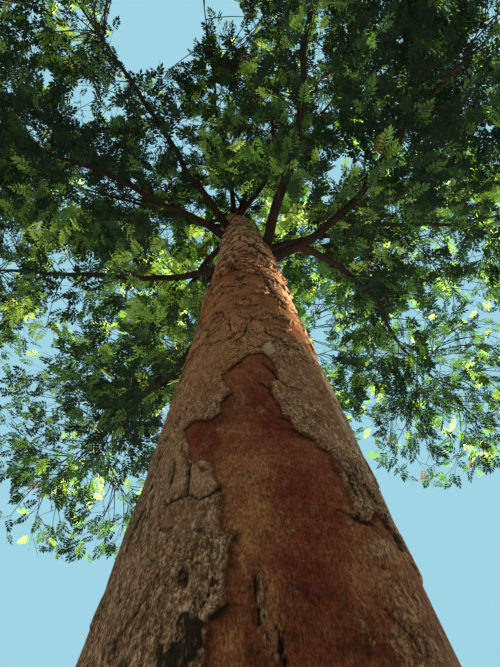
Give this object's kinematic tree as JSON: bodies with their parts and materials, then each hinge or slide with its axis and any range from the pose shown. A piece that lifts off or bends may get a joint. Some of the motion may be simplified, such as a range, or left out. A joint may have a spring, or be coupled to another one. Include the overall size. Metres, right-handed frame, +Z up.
{
  "type": "brazilwood tree",
  "caption": "Broadleaf tree with a flared trunk of scaly bark over orange-red inner bark, spreading boughs and a domed crown of feathery foliage.",
  "frame": {"origin": "centre of the flat cut under the trunk, at ground level", "axes": "+Z up along the trunk, +X and +Y level"},
  "size_m": [8.4085, 7.8534, 10.9971],
  "materials": {
    "bark": "rough scaly bark, grey-brown plates over orange-red inner bark",
    "foliage": "thin leathery leaves, slightly glossy"
  },
  "bodies": {
    "root": {"trunk": "bark", "bough_inner_east": "bark", "bough_inner_north": "bark", "bough_inner_south": "bark", "bough_inner_west": "bark", "bough_lower_east": "bark", "bough_lower_east_south": "bark", "bough_lower_north": "bark", "bough_lower_north_east": "bark", "bough_lower_north_west": "bark", "bough_lower_south": "bark", "bough_lower_south_east": "bark", "bough_lower_south_west": "bark", "bough_lower_west": "bark", "bough_summit": "bark", "bough_top_east": "bark", "bough_top_south": "bark", "bough_top_west": "bark", "bough_upper_east": "bark", "bough_upper_north_east": "bark", "bough_upper_north_west": "bark", "bough_upper_south": "bark", "bough_upper_south_east": "bark", "bough_upper_west": "bark", "foliage_inner_east": "foliage", "foliage_inner_north": "foliage", "foliage_inner_south": "foliage", "foliage_inner_west": "foliage", "foliage_lower_east": "foliage", "foliage_lower_east_south": "foliage", "foliage_lower_north": "foliage", "foliage_lower_north_east": "foliage", "foliage_lower_north_west": "foliage", "foliage_lower_south": "foliage", "foliage_lower_south_east": "foliage", "foliage_lower_south_west": "foliage", "foliage_lower_west": "foliage", "foliage_summit": "foliage", "foliage_top_east": "foliage", "foliage_top_south": "foliage", "foliage_top_west": "foliage", "foliage_upper_east": "foliage", "foliage_upper_north_east": "foliage", "foliage_upper_north_west": "foliage", "foliage_upper_south": "foliage", "foliage_upper_south_east": "foliage", "foliage_upper_west": "foliage"}
  },
  "joints": []
}
